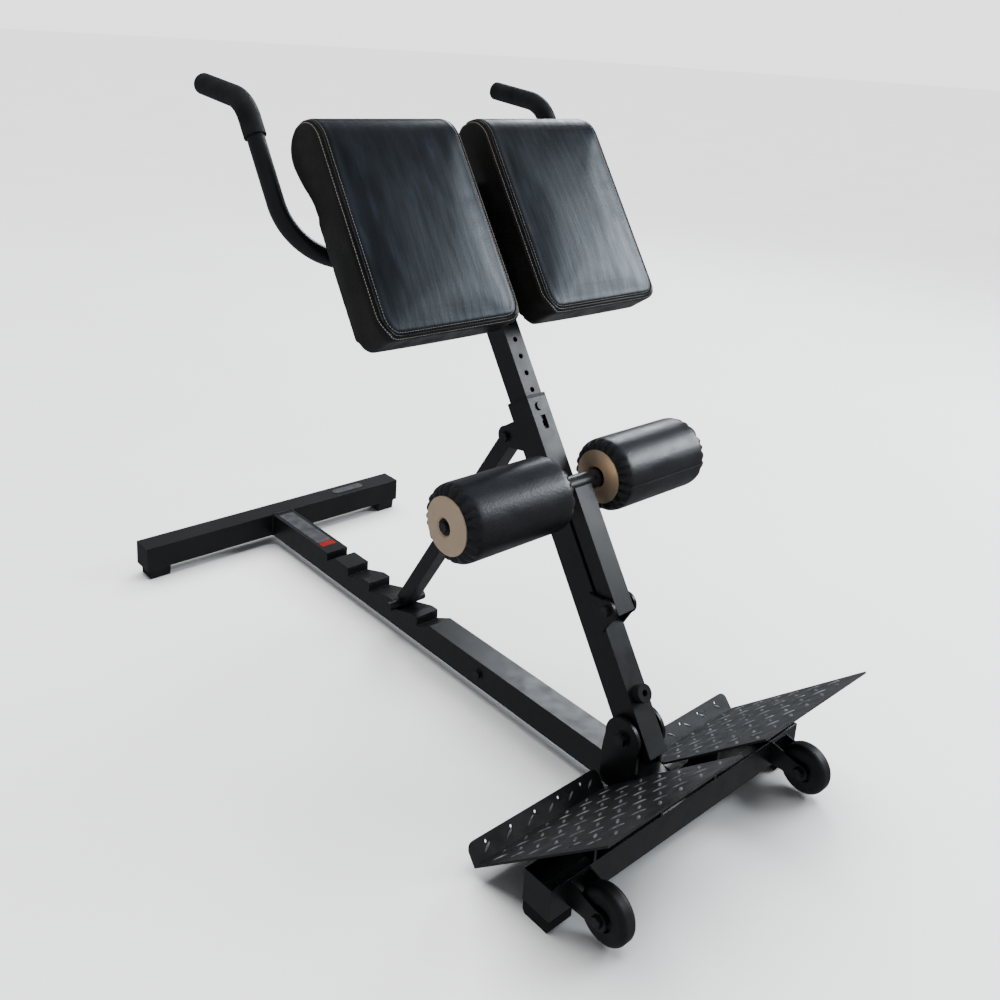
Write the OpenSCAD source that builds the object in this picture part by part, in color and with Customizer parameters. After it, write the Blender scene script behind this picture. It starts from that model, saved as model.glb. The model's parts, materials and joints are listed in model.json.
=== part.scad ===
// Roman chair: a 45 degree hyperextension bench with tilting post,
// telescoping pad carriage, folding ankle-roller arm and transport wheels.
// Units are millimetres, +Z up. The foot plates and wheels are at -Y.
// The origin is on the floor, midway along the length and width.

/* [Base] */
// Length from the wheels' front to the rear crossbar's back
overall_length = 1296; // [1280:2:1310]
// Length of the rear crossbar
crossbar_length = 630; // [580:10:680]
// Side of the square frame tube
frame_tube = 50; // [48:1:52]
// Height of the frame tubes above the floor
foot_height = 22; // [20:1:24]
// Length of the front channel
channel_length = 568; // [560:2:600]

/* [Foot plates] */
// Width of the pair of foot plates
plates_width = 592; // [560:4:620]
// Depth of a foot plate along its slope
plate_depth = 297; // [280:1:300]
// Slope of the foot plates from the floor
plate_angle = 41; // [40:0.5:42]
// Height of the toe flange above the plate
toe_height = 30; // [20:1:40]

/* [Post] */
// Lean of the post from upright, towards +Y
post_lean = 33.6; // [33:0.1:34.2]
// Top of the outer sleeve, along the post
sleeve_top = 560; // [556:1:562]
// Top of the inner tube, along the post
inner_top = 930; // [900:5:950]

/* [Ankle rollers] */
// Radius of the padded rollers
roller_r = 59; // [50:1:60]
// Length of one padded roller
roller_length = 204; // [180:2:210]
// Distance of the roller axis along the post
roller_s = 410; // [400:1:412]

/* [Thigh pads] */
// Width of one thigh pad
pad_width = 268; // [250:2:274]
// Gap between the two pads
pad_gap = 52; // [48:1:60]
// Lower edge of the pads, along the post
pad_bottom = 672; // [666:1:680]

/* [Handles] */
// Distance of each handle from the middle
handle_x = 316; // [308:1:330]
// Outside radius of the handle tube
handle_r = 14; // [12:0.5:15]
// Outside radius of the foam grip
grip_r = 17.5; // [17:0.5:19]

/* [Wheels] */
// Radius of the wheels
wheel_r = 40; // [36:1:41]
// Width of a tyre
wheel_width = 28; // [24:1:29]

/* [Hidden] */
$fn = 64;

steel_black = [0.10, 0.10, 0.11];
tread_black = [0.15, 0.15, 0.16];
plastic_black = [0.07, 0.07, 0.07];
rubber_black = [0.05, 0.05, 0.05];
vinyl_black = [0.06, 0.065, 0.075];
champagne = [0.72, 0.66, 0.58];
zinc = [0.62, 0.63, 0.65];
plywood = [0.62, 0.48, 0.32];

run_gap = 0.06;              // radial clearance of a shaft that turns
side_gap = 0.3;              // clearance between faces that pass

// base
frame_top = foot_height + frame_tube;
rear_y = overall_length / 2;
bar_front_y = rear_y - frame_tube;
axle_y = -overall_length / 2 + wheel_r;
axle_z = wheel_r + 6;
channel_front_y = -555;
channel_back_y = channel_front_y + 50;
sheet = 3;
tube_wall = 3;
cap_t = 3;
foot_x = 267;
foot_len = 42;
front_foot_x = 240;

// ladder, measured along Y
notch_pitch = 77;
notch_floor_z = frame_top - 18;
notch_steep = [376, 299, 223, 146, 68];
notch_rise = [349, 243, 166, 85, 30];
ladder_rear_y = 392;
ladder_front_y = 22;
rod_r = 9;
rod_y = notch_steep[3] - rod_r - side_gap;
rod_z = notch_floor_z + 12.6;

// foot plates
plate_low_y = -422;
plate_low_z = 20;
plate_slot_x = 27;
plate_ear_x = 33;
plate_ear_depth = 80;
plate_t = 3;
rib_t = 5;
toe_round = 12;

// pivot
pivot_y = -445;
pivot_z = 119;
pivot_r = 6;
ear_t = 6;
ear_r = 33;

// wheels
wheel_mid_x = 231;
cheek_in = wheel_width / 2 + 3;
cheek_t = 3;
hub_r = 22;

// bolts: shank radius, and corner radius of the hexagons
bolt_r = 5;
small_hex_r = 8.5;
large_hex_r = 10.5;
large_washer_r = 13;

// post, positions along it are s and in front of it are n
post_y = -467.3;
post_z = 100;
pivot_s = (pivot_y - post_y) * sin(post_lean) + (pivot_z - post_z) * cos(post_lean);
pivot_n = -(pivot_y - post_y) * cos(post_lean) + (pivot_z - post_z) * sin(post_lean);
sleeve_w = 40;
sleeve_d = 50;
sleeve_wall = 2;
sleeve_bottom = -10;
bushing_flange = 5;
bushing_depth = 26;
inner_w = 34;
inner_d = 42;
inner_bottom = 300;
lock_s = 544.5;
lock_pitch = 28.5;
lock_r = 4.2;
sleeve_lock_r = 5;
window_half = 5;
window_s = [507, 529];
bush_r = 9;

// strut, hinged on the sleeve's back
strut_s = 519;
strut_n = -55;
strut_w = 30;
strut_d = 26;
strut_py = post_y + strut_s * sin(post_lean) - strut_n * cos(post_lean);
strut_pz = post_z + strut_s * cos(post_lean) + strut_n * sin(post_lean);
strut_length = norm([rod_y - strut_py, strut_pz - rod_z]);
strut_angle = atan2(rod_y - strut_py, strut_pz - rod_z);
rod_half = 42;
strut_ear_r = 18;
small_bush_r = 8;
thin_wall = 2;

// ankle arm
arm_s = 216;
arm_n = 45;
arm_w = 36;
arm_d = 30;
arm_foot = 12;
arm_top = roller_s - 6;
clevis_t = 5;
clevis_r = 17;
bar_sleeve_r = 15;
bar_sleeve_end = 43;
roller_bar_r = 10;
core_r = 16;
roller_inner_x = 52;
roller_outer_x = roller_inner_x + roller_length;
disc_r = 43;
disc_h = 8;
disc_chamfer = 2.5;
dome_r = 157;
dome_steps = 8;
bar_end_x = roller_outer_x + 3;
bumper_s = 83;
bumper_r = 14;
bumper_t = 15;

// carriage
pad_in_x = pad_gap / 2;
pad_out_x = pad_in_x + pad_width;
screw_x = [pad_in_x + 50, pad_out_x - 50];
screw_r = 4;
plug_depth = 12;
pad_front_n = 90;
pad_back_n = 24;
pad_roll_r = 48;
pad_roll_n = pad_front_n - pad_roll_r;
pad_roll_s = pad_bottom + 316;
board_t = 10;
bracket_t = 8;
bracket_h = 25;
lower_bracket_s = 710;
upper_bracket_s = 860;
handle_n = -inner_d / 2 - handle_r - 3;
handle_s = 843;
handle_bend = 100;
grip_bend = 70;
grip_bend_angle = 50;
grip_bend_s = 1085;
grip_start_s = 1055;
grip_straight = 104;
grip_cap = 5;
bend_skin = 0.04;
bend_lap = 0.8;

// placement helpers
module on_post() {
    translate([0, post_y, post_z])
        rotate([-post_lean, 0, 0])
            children();
}

// origin at the plates' low edge, -Y up the slope, +Z off the tread
module on_plate() {
    translate([0, plate_low_y, plate_low_z])
        rotate([-plate_angle, 0, 0])
            children();
}

module on_strut() {
    translate([0, strut_py, strut_pz])
        rotate([strut_angle, 0, 0])
            children();
}

module both_sides() {
    children();
    mirror([1, 0, 0])
        children();
}

module box(x, y, z) {
    translate([x[0], y[0], z[0]])
        cube([x[1] - x[0], y[1] - y[0], z[1] - z[0]]);
}

// a rod along X between two x positions, at y, z
module rod_x(x0, x1, y, z, r) {
    translate([x0, y, z])
        rotate([0, 90, 0])
            cylinder(r = r, h = x1 - x0);
}

// a rod along the post's front direction, from n0 to n1
module rod_n(x, s, n0, n1, r) {
    translate([x, -n0, s])
        rotate([90, 0, 0])
            cylinder(r = r, h = n1 - n0);
}

// a hexagon along X
module hex_x(x0, x1, y, z, r) {
    translate([x0, y, z])
        rotate([0, 90, 0])
            cylinder(r = r, h = x1 - x0, $fn = 6);
}

// extrudes a YZ profile along X between two x positions
module profile_x(x0, x1) {
    translate([x0, 0, 0])
        rotate([90, 0, 90])
            linear_extrude(height = x1 - x0)
                children();
}

// base frame
module rear_crossbar() {
    half = crossbar_length / 2;
    color(steel_black)
        difference() {
            box([-half, half], [bar_front_y, rear_y], [foot_height, frame_top]);
            box([-half - 1, half + 1],
                [bar_front_y + tube_wall, rear_y - tube_wall],
                [foot_height + tube_wall, frame_top - tube_wall]);
        }
}

module crossbar_end_caps() {
    half = crossbar_length / 2;
    color(plastic_black)
        both_sides() {
            box([half, half + cap_t], [bar_front_y, rear_y], [foot_height, frame_top]);
            box([half - 12, half],
                [bar_front_y + tube_wall, rear_y - tube_wall],
                [foot_height + tube_wall, frame_top - tube_wall]);
        }
}

module rear_feet() {
    color(rubber_black)
        both_sides()
            profile_x(foot_x, foot_x + foot_len)
                polygon([[bar_front_y + 4, 0], [rear_y - 4, 0], [rear_y, foot_height],
                         [bar_front_y, foot_height]]);
}

module id_plate() {
    plate_x = 190;
    plate_y = rear_y - frame_tube / 2;
    color(zinc)
        translate([plate_x, plate_y, frame_top])
            linear_extrude(height = 1) {
                square([60, 22], center = true);
                translate([30, 0])
                    circle(r = 11);
                translate([-30, 0])
                    circle(r = 11);
            }
}

module ladder_profile() {
    polygon([[ladder_rear_y, frame_top],
             [notch_steep[0], frame_top], [notch_steep[0], notch_floor_z],
             [notch_rise[0], frame_top],
             [notch_steep[1], frame_top], [notch_steep[1], notch_floor_z],
             [notch_rise[1], frame_top],
             [notch_steep[2], frame_top], [notch_steep[2], notch_floor_z],
             [notch_rise[2], frame_top],
             [notch_steep[3], frame_top], [notch_steep[3], notch_floor_z],
             [notch_rise[3], frame_top],
             [notch_steep[4], frame_top], [notch_steep[4], notch_floor_z],
             [notch_rise[4], frame_top],
             [ladder_front_y, frame_top],
             [ladder_front_y, notch_floor_z - 12], [ladder_rear_y, notch_floor_z - 12]]);
}

module notch_cuts() {
    for (i = [0 : 4])
        polygon([[notch_steep[i], frame_top + 1], [notch_steep[i], notch_floor_z],
                 [notch_rise[i], frame_top], [notch_rise[i], frame_top + 1]]);
}

module main_beam() {
    half = frame_tube / 2;
    color(steel_black)
        difference() {
            box([-half, half], [channel_back_y, bar_front_y], [foot_height, frame_top]);
            box([-half + tube_wall, half - tube_wall],
                [channel_back_y - 1, bar_front_y + 1],
                [foot_height + tube_wall, frame_top - tube_wall]);
            profile_x(-half - 1, half + 1)
                notch_cuts();
        }
}

module ladder_insert() {
    half = frame_tube / 2 - tube_wall;
    color(steel_black)
        difference() {
            profile_x(-half, half)
                ladder_profile();
            box([-half - 1, half + 1], [ladder_front_y - 1, ladder_rear_y + 1],
                [frame_top - tube_wall, frame_top + 1]);
        }
}

module beam_bolt() {
    half = frame_tube / 2;
    bolt_y = -110;
    bolt_z = foot_height + frame_tube / 2;
    color(zinc) {
        hex_x(-half - 5, -half, bolt_y, bolt_z, 8);
        rod_x(-half - 1, -half, bolt_y, bolt_z, 11);
    }
}

module front_channel() {
    half = channel_length / 2;
    color(steel_black)
        difference() {
            box([-half, half], [channel_front_y, channel_back_y], [foot_height, frame_top]);
            box([-half + sheet, half - sheet],
                [channel_front_y + sheet, channel_back_y - sheet],
                [foot_height + sheet, frame_top + 1]);
        }
}

module front_feet() {
    color(rubber_black)
        both_sides()
            profile_x(front_foot_x, front_foot_x + foot_len)
                polygon([[channel_front_y + 4, 0], [channel_back_y - 4, 0],
                         [channel_back_y, 6], [channel_back_y, foot_height],
                         [channel_front_y, foot_height], [channel_front_y, 6]]);
}

// foot plates, drawn for the +X side
module plate_outline() {
    half = plates_width / 2;
    polygon([[plate_ear_x, 0], [half, 0], [half, -plate_depth], [plate_slot_x, -plate_depth],
             [plate_slot_x, -plate_ear_depth], [plate_ear_x, -plate_ear_depth]]);
}

module toe_outline() {
    half = plates_width / 2;
    difference() {
        union() {
            translate([plate_ear_x, -plate_t])
                square([half - plate_ear_x, toe_height + plate_t - toe_round]);
            translate([plate_ear_x + toe_round, -plate_t])
                square([half - plate_ear_x - 2 * toe_round, toe_height + plate_t]);
            translate([plate_ear_x + toe_round, toe_height - toe_round])
                circle(r = toe_round);
            translate([half - toe_round, toe_height - toe_round])
                circle(r = toe_round);
        }
        for (i = [0 : 4])
            translate([plate_ear_x + 40 + i * 48, toe_height - 9])
                circle(r = 2.5);
    }
}

module foot_plate() {
    on_plate() {
        translate([0, 0, -plate_t])
            linear_extrude(height = plate_t)
                plate_outline();
        translate([0, plate_t, 0])
            rotate([90, 0, 0])
                linear_extrude(height = plate_t)
                    toe_outline();
    }
}

module foot_plate_right() {
    color(tread_black)
        foot_plate();
}

module foot_plate_left() {
    color(tread_black)
        mirror([1, 0, 0])
            foot_plate();
}

function plate_under(y) =
    plate_low_z + (plate_low_y - y) * tan(plate_angle) - plate_t / cos(plate_angle);

module plate_ribs() {
    front = channel_front_y;
    back = channel_back_y;
    color(steel_black)
        both_sides()
            for (x = [60, 200])
                profile_x(x, x + rib_t)
                    polygon([[front, frame_top], [back, frame_top],
                             [back, plate_under(back)], [front, plate_under(front)]]);
}

// pivot of the post on the beam
module pivot_ear() {
    half = frame_tube / 2;
    color(steel_black)
        difference() {
            profile_x(half, half + ear_t) {
                polygon([[pivot_y - 31, foot_height + 3], [pivot_y + 37, foot_height + 3],
                         [pivot_y + 37, frame_top + 12], [pivot_y + ear_r - 2, pivot_z + 9],
                         [pivot_y - ear_r + 2, pivot_z + 9]]);
                translate([pivot_y, pivot_z])
                    circle(r = ear_r);
            }
            rod_x(half - 1, half + ear_t + 1, pivot_y, pivot_z, pivot_r);
        }
}

module pivot_ear_right() {
    pivot_ear();
}

module pivot_ear_left() {
    mirror([1, 0, 0])
        pivot_ear();
}

module pivot_bolt() {
    outer = frame_tube / 2 + ear_t;
    color(zinc) {
        rod_x(-outer, outer + 12, pivot_y, pivot_z, pivot_r);
        rod_x(-outer - 1.5, -outer, pivot_y, pivot_z, large_washer_r);
        hex_x(-outer - 8.5, -outer - 1.5, pivot_y, pivot_z, large_hex_r);
    }
}

module pivot_nut() {
    outer = frame_tube / 2 + ear_t;
    color(zinc)
        difference() {
            union() {
                rod_x(outer, outer + 1.5, pivot_y, pivot_z, large_washer_r);
                hex_x(outer + 1.5, outer + 10, pivot_y, pivot_z, large_hex_r);
            }
            rod_x(outer - 1, outer + 11, pivot_y, pivot_z, pivot_r);
        }
}

// wheels, drawn for the +X side
module wheel_bracket() {
    inner_x = wheel_mid_x - cheek_in - cheek_t;
    outer_x = wheel_mid_x + cheek_in + cheek_t;
    wall = channel_front_y;
    color(steel_black) {
        box([inner_x, outer_x], [wall - cheek_t, wall], [32, 70]);
        for (x = [inner_x, outer_x - cheek_t])
            difference() {
                profile_x(x, x + cheek_t) {
                    polygon([[wall, 32], [wall, 70], [axle_y + 4, axle_z + 13],
                             [axle_y + 4, axle_z - 13]]);
                    translate([axle_y, axle_z])
                        circle(r = 14);
                }
                rod_x(x - 1, x + cheek_t + 1, axle_y, axle_z, bolt_r);
            }
    }
}

module wheel_bracket_right() {
    wheel_bracket();
}

module wheel_bracket_left() {
    mirror([1, 0, 0])
        wheel_bracket();
}

module wheel_axles() {
    inner_x = wheel_mid_x - cheek_in - cheek_t;
    outer_x = wheel_mid_x + cheek_in + cheek_t;
    color(zinc)
        both_sides() {
            rod_x(inner_x - 4, outer_x, axle_y, axle_z, bolt_r);
            hex_x(outer_x, outer_x + 5, axle_y, axle_z, small_hex_r);
            hex_x(inner_x - 6, inner_x, axle_y, axle_z, small_hex_r);
        }
}

// tyre section: a fat rounded ring, turned about the axle
module tyre() {
    half = wheel_width / 2;
    edge = 9;
    color(rubber_black)
        translate([wheel_mid_x, axle_y, axle_z])
            rotate([0, 90, 0])
                rotate_extrude()
                    difference() {
                        union() {
                            translate([hub_r, -half])
                                square([wheel_r - edge - hub_r, 2 * half]);
                            translate([hub_r, -half + edge])
                                square([wheel_r - hub_r, 2 * (half - edge)]);
                            translate([wheel_r - edge, half - edge])
                                circle(r = edge);
                            translate([wheel_r - edge, -half + edge])
                                circle(r = edge);
                        }
                        square([hub_r, 4 * half], center = true);
                    }
}

module hub() {
    half = wheel_width / 2;
    color(plastic_black)
        translate([wheel_mid_x, axle_y, axle_z])
            rotate([0, 90, 0])
                rotate_extrude()
                    polygon([[bolt_r + run_gap, -half - 2], [10, -half - 2], [10, -half + 5],
                             [hub_r - 4, -half + 5], [hub_r - 4, -half], [hub_r, -half],
                             [hub_r, half], [hub_r - 4, half], [hub_r - 4, half - 5],
                             [10, half - 5], [10, half + 2], [bolt_r + run_gap, half + 2]]);
}

module tyre_right() {
    tyre();
}

module tyre_left() {
    mirror([1, 0, 0])
        tyre();
}

module hub_right() {
    hub();
}

module hub_left() {
    mirror([1, 0, 0])
        hub();
}

// post
module post_sleeve() {
    w = sleeve_w / 2;
    d = sleeve_d / 2;
    color(steel_black)
        on_post()
            difference() {
                box([-w, w], [-d, d], [sleeve_bottom, sleeve_top]);
                box([-w + sleeve_wall, w - sleeve_wall], [-d + sleeve_wall, d - sleeve_wall],
                    [sleeve_bottom - 1, sleeve_top + 1]);
                rod_n(0, lock_s, d - 5, d + 1, sleeve_lock_r);
                box([-window_half, window_half], [-d - 1, -d + 5], window_s);
                rod_x(-w - 1, w + 1, -pivot_n, pivot_s, bush_r);
            }
}

module pivot_bush() {
    outer = frame_tube / 2 - side_gap;
    color(steel_black)
        on_post()
            difference() {
                rod_x(-outer, outer, -pivot_n, pivot_s, bush_r);
                rod_x(-outer - 1, outer + 1, -pivot_n, pivot_s, pivot_r + run_gap);
            }
}

module sleeve_bushing() {
    w = sleeve_w / 2;
    d = sleeve_d / 2;
    iw = inner_w / 2 + side_gap + 0.1;
    id = inner_d / 2 + side_gap + 0.1;
    color(plastic_black)
        on_post()
            difference() {
                union() {
                    box([-w, w], [-d, d], [sleeve_top, sleeve_top + bushing_flange]);
                    box([-w + sleeve_wall, w - sleeve_wall],
                        [-d + sleeve_wall, d - sleeve_wall],
                        [sleeve_top - bushing_depth, sleeve_top]);
                }
                box([-iw, iw], [-id, id],
                    [sleeve_top - bushing_depth - 1, sleeve_top + bushing_flange + 1]);
                rod_n(0, lock_s, 0, d + 1, sleeve_lock_r);
            }
}

module strut_ears() {
    d = sleeve_d / 2;
    ear_in = strut_w / 2 + 0.5;
    color(steel_black)
        on_post()
            both_sides()
                difference() {
                    profile_x(ear_in, sleeve_w / 2) {
                        polygon([[d, 486], [-strut_n + 4, strut_s - 17], [-strut_n + 4, strut_s + 17],
                                 [d, strut_s + 17]]);
                        translate([-strut_n, strut_s])
                            circle(r = strut_ear_r);
                    }
                    rod_x(ear_in - 1, sleeve_w / 2 + 1, -strut_n, strut_s, bolt_r);
                }
}

module strut_bolt() {
    outer = sleeve_w / 2;
    color(zinc)
        on_post() {
            rod_x(-outer, outer + 3, -strut_n, strut_s, bolt_r);
            hex_x(-outer - 6, -outer, -strut_n, strut_s, small_hex_r);
            hex_x(outer, outer + 8, -strut_n, strut_s, small_hex_r);
        }
}

module ankle_clevis() {
    d = sleeve_d / 2;
    w = sleeve_w / 2;
    color(steel_black)
        on_post()
            both_sides()
                difference() {
                    profile_x(w, w + clevis_t) {
                        polygon([[d - 45, arm_s - 30], [-arm_n, arm_s - 17], [-arm_n, arm_s + 17],
                                 [-d + 5, arm_s + 32]]);
                        translate([-arm_n, arm_s])
                            circle(r = clevis_r);
                    }
                    rod_x(w - 1, w + clevis_t + 1, -arm_n, arm_s, bolt_r);
                }
}

module ankle_bolt() {
    outer = sleeve_w / 2 + clevis_t;
    color(zinc)
        on_post() {
            rod_x(-outer, outer + 3, -arm_n, arm_s, bolt_r);
            hex_x(-outer - 6, -outer, -arm_n, arm_s, small_hex_r);
            hex_x(outer, outer + 8, -arm_n, arm_s, small_hex_r);
        }
}

module arm_bumper() {
    d = sleeve_d / 2;
    color(rubber_black)
        on_post()
            difference() {
                rod_n(0, bumper_s, d, d + bumper_t, bumper_r);
                rod_n(0, bumper_s, d + 4, d + bumper_t + 1, bolt_r);
            }
}

module height_pin() {
    d = sleeve_d / 2;
    color(zinc)
        on_post() {
            rod_n(0, lock_s, inner_d / 2 + 0.5, d + side_gap, 4.9);
            rod_n(0, lock_s, d + side_gap, d + 3, 7);
        }
}

// strut, -Z runs down to the rod
module strut_tube() {
    w = strut_w / 2;
    d = strut_d / 2;
    color(steel_black)
        on_strut()
            difference() {
                box([-w, w], [-d, d], [-strut_length + 7, 13]);
                box([-w + thin_wall, w - thin_wall], [-d + thin_wall, d - thin_wall],
                    [-strut_length, 14]);
                rod_x(-w - 1, w + 1, 0, 0, small_bush_r);
                rod_x(-w - 1, w + 1, 0, -strut_length, rod_r);
            }
}

module strut_bush() {
    w = strut_w / 2 + 0.2;
    color(steel_black)
        on_strut()
            difference() {
                rod_x(-w, w, 0, 0, small_bush_r);
                rod_x(-w - 1, w + 1, 0, 0, bolt_r + run_gap);
            }
}

module strut_rod() {
    color(steel_black)
        on_strut()
            rod_x(-rod_half, rod_half, 0, -strut_length, rod_r);
}

// ankle arm
module ankle_arm() {
    w = arm_w / 2;
    n0 = arm_n - arm_d / 2;
    n1 = arm_n + arm_d / 2;
    color(steel_black)
        on_post()
            difference() {
                box([-w, w], [-n1, -n0], [arm_s - arm_foot, arm_top]);
                box([-w + thin_wall, w - thin_wall], [-n1 + thin_wall, -n0 - thin_wall],
                    [arm_s - arm_foot - 1, arm_top + 1]);
                rod_x(-w - 1, w + 1, -arm_n, arm_s, small_bush_r);
                rod_x(-w - 1, w + 1, -arm_n, roller_s, bar_sleeve_r);
            }
}

module ankle_bush() {
    outer = sleeve_w / 2 - side_gap;
    color(steel_black)
        on_post()
            difference() {
                rod_x(-outer, outer, -arm_n, arm_s, small_bush_r);
                rod_x(-outer - 1, outer + 1, -arm_n, arm_s, bolt_r + run_gap);
            }
}

module roller_bar() {
    color(steel_black)
        on_post()
            rod_x(-bar_end_x, bar_end_x, -arm_n, roller_s, roller_bar_r);
}

// sits in the coped top of the arm, with a set screw at each end
module bar_sleeve() {
    end = bar_sleeve_end;
    color(steel_black)
        on_post()
            difference() {
                union() {
                    rod_x(-end, end, -arm_n, roller_s, bar_sleeve_r);
                    both_sides()
                        rod_n(34, roller_s, arm_n + 14, arm_n + 18, 3.5);
                }
                rod_x(-end - 1, end + 1, -arm_n, roller_s, roller_bar_r);
            }
}

module roller_end_bolts() {
    color(zinc)
        on_post()
            both_sides() {
                rod_x(bar_end_x, bar_end_x + 1.5, -arm_n, roller_s, 11);
                hex_x(bar_end_x + 1.5, bar_end_x + 6, -arm_n, roller_s, 8);
            }
}

// rollers, drawn for the +X side
module roller_pad() {
    edge = 16;
    color(vinyl_black)
        on_post()
            translate([roller_inner_x, -arm_n, roller_s])
                rotate([0, 90, 0])
                    rotate_extrude()
                        difference() {
                            union() {
                                translate([0, edge])
                                    square([roller_r, roller_length - 2 * edge]);
                                square([roller_r - edge, roller_length]);
                                translate([roller_r - edge, edge])
                                    circle(r = edge);
                                translate([roller_r - edge, roller_length - edge])
                                    circle(r = edge);
                            }
                            translate([-roller_r, -1])
                                square([roller_r + core_r, roller_length + 2]);
                        }
}

module roller_core() {
    color(plastic_black)
        on_post()
            difference() {
                rod_x(roller_inner_x, roller_outer_x, -arm_n, roller_s, core_r);
                rod_x(roller_inner_x - 1, roller_outer_x + 1, -arm_n, roller_s,
                      roller_bar_r + run_gap);
            }
}

// height of the disc's dome at a radius
function dome_z(r) = disc_h - dome_r + sqrt(dome_r * dome_r - r * r);

// domed disc section, flat side on the pad at z = 0
module disc_section(bore) {
    inner = bore + disc_chamfer;
    dome = [for (i = [0 : dome_steps])
                let (r = disc_r - (disc_r - inner) * i / dome_steps)
                [r, dome_z(r)]];
    polygon(concat([[bore, 0], [disc_r, 0]], dome, [[bore, dome_z(inner) - disc_chamfer]]));
}

module roller_discs() {
    color(champagne)
        on_post() {
            translate([roller_outer_x, -arm_n, roller_s])
                rotate([0, 90, 0])
                    rotate_extrude()
                        disc_section(12.5);
            translate([roller_inner_x, -arm_n, roller_s])
                rotate([0, -90, 0])
                    rotate_extrude()
                        disc_section(core_r);
        }
}

module roller_right_pad() {
    roller_pad();
}

module roller_right_core() {
    roller_core();
}

module roller_right_discs() {
    roller_discs();
}

module roller_left_pad() {
    mirror([1, 0, 0])
        roller_pad();
}

module roller_left_core() {
    mirror([1, 0, 0])
        roller_core();
}

module roller_left_discs() {
    mirror([1, 0, 0])
        roller_discs();
}

// pad carriage
module inner_tube() {
    w = inner_w / 2;
    d = inner_d / 2;
    color(steel_black)
        on_post()
            difference() {
                box([-w, w], [-d, d], [inner_bottom, inner_top]);
                box([-w + thin_wall, w - thin_wall], [-d + thin_wall, d - thin_wall],
                    [inner_bottom - 1, inner_top + 1]);
                for (i = [-3 : 5])
                    rod_n(0, lock_s + i * lock_pitch, d - 4, d + 1, lock_r);
            }
}

module inner_tube_plug() {
    w = inner_w / 2;
    d = inner_d / 2;
    color(plastic_black)
        on_post() {
            box([-w, w], [-d, d], [inner_top, inner_top + 3]);
            box([-w + thin_wall, w - thin_wall], [-d + thin_wall, d - thin_wall],
                [inner_top - plug_depth, inner_top]);
        }
}

module pad_bracket(s) {
    n0 = pad_back_n - board_t - bracket_t;
    color(steel_black)
        on_post()
            both_sides()
                difference() {
                    box([inner_w / 2, pad_out_x - 20], [-n0 - bracket_t, -n0], [s, s + bracket_h]);
                    for (x = screw_x)
                        rod_n(x, s + bracket_h / 2, n0 - 1, n0 + bracket_t + 1, screw_r);
                }
}

module lower_pad_bracket() {
    pad_bracket(lower_bracket_s);
}

module upper_pad_bracket() {
    pad_bracket(upper_bracket_s);
}

module pad_board() {
    n0 = pad_back_n - board_t;
    color(plywood)
        on_post()
            difference() {
                box([pad_in_x + 14, pad_out_x - 14], [-pad_back_n, -n0],
                    [pad_bottom + 18, pad_roll_s - 90]);
                for (x = screw_x)
                    for (s = [lower_bracket_s, upper_bracket_s])
                        rod_n(x, s + bracket_h / 2, n0 - 1, pad_back_n + 1, screw_r);
            }
}

module pad_board_right() {
    pad_board();
}

module pad_board_left() {
    mirror([1, 0, 0])
        pad_board();
}

module pad_screws() {
    n0 = pad_back_n - board_t - bracket_t;
    color(zinc)
        on_post()
            both_sides()
                for (x = screw_x)
                    for (s = [lower_bracket_s, upper_bracket_s]) {
                        rod_n(x, s + bracket_h / 2, n0 - 1, pad_back_n, screw_r);
                        rod_n(x, s + bracket_h / 2, n0 - 5, n0, 2 * screw_r);
                    }
}

// pad section in the post's side view: x is behind the post, y is along it
module pad_section() {
    corner = 14;
    lap = 6;
    f = -pad_front_n;
    b = -pad_back_n;
    translate([f + corner, pad_bottom])
        square([b - f - corner, pad_roll_s - pad_bottom + lap]);
    translate([f, pad_bottom + corner])
        square([corner + lap, pad_roll_s - pad_bottom - corner]);
    translate([f + corner, pad_bottom + corner])
        circle(r = corner);
    translate([-pad_roll_n, pad_roll_s])
        circle(r = pad_roll_r);
    polygon([[b - lap, pad_roll_s - 88], [b, pad_roll_s - 88],
             [-pad_roll_n + 46, pad_roll_s - 12], [b - lap, pad_roll_s]]);
}

module pad_right() {
    color(vinyl_black)
        on_post()
            profile_x(pad_in_x, pad_out_x)
                pad_section();
}

module pad_left() {
    mirror([1, 0, 0])
        pad_right();
}

// a straight piece of round tube along +Z
module tube_straight(r_out, r_in, h) {
    linear_extrude(height = h)
        difference() {
            circle(r = r_out);
            circle(r = r_in);
        }
}

// a bend of round tube about Z, starting on the +X axis; its wall is a touch
// thicker than the straight tube's, so the two overlap cleanly
module tube_bend(bend, angle, r_out, r_in) {
    rotate_extrude(angle = angle)
        translate([bend, 0])
            difference() {
                circle(r = r_out + bend_skin);
                circle(r = r_in - bend_skin);
            }
}

// upright piece from the start position, then the backward bend
module handle_top(start, r_out, r_in) {
    translate([handle_x, -handle_n, start])
        tube_straight(r_out, r_in, grip_bend_s - start + bend_lap);
    translate([handle_x, -handle_n + grip_bend, grip_bend_s])
        rotate([90, 0, 90])
            rotate([0, 0, 180 - grip_bend_angle])
                tube_bend(grip_bend, grip_bend_angle, r_out, r_in);
}

// origin where the sloping end of the handle starts, +Z along it
module handle_end() {
    translate([handle_x, -handle_n + grip_bend * (1 - cos(grip_bend_angle)),
               grip_bend_s + grip_bend * sin(grip_bend_angle)])
        rotate([-grip_bend_angle, 0, 0])
            translate([0, 0, -bend_lap])
                children();
}

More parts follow.
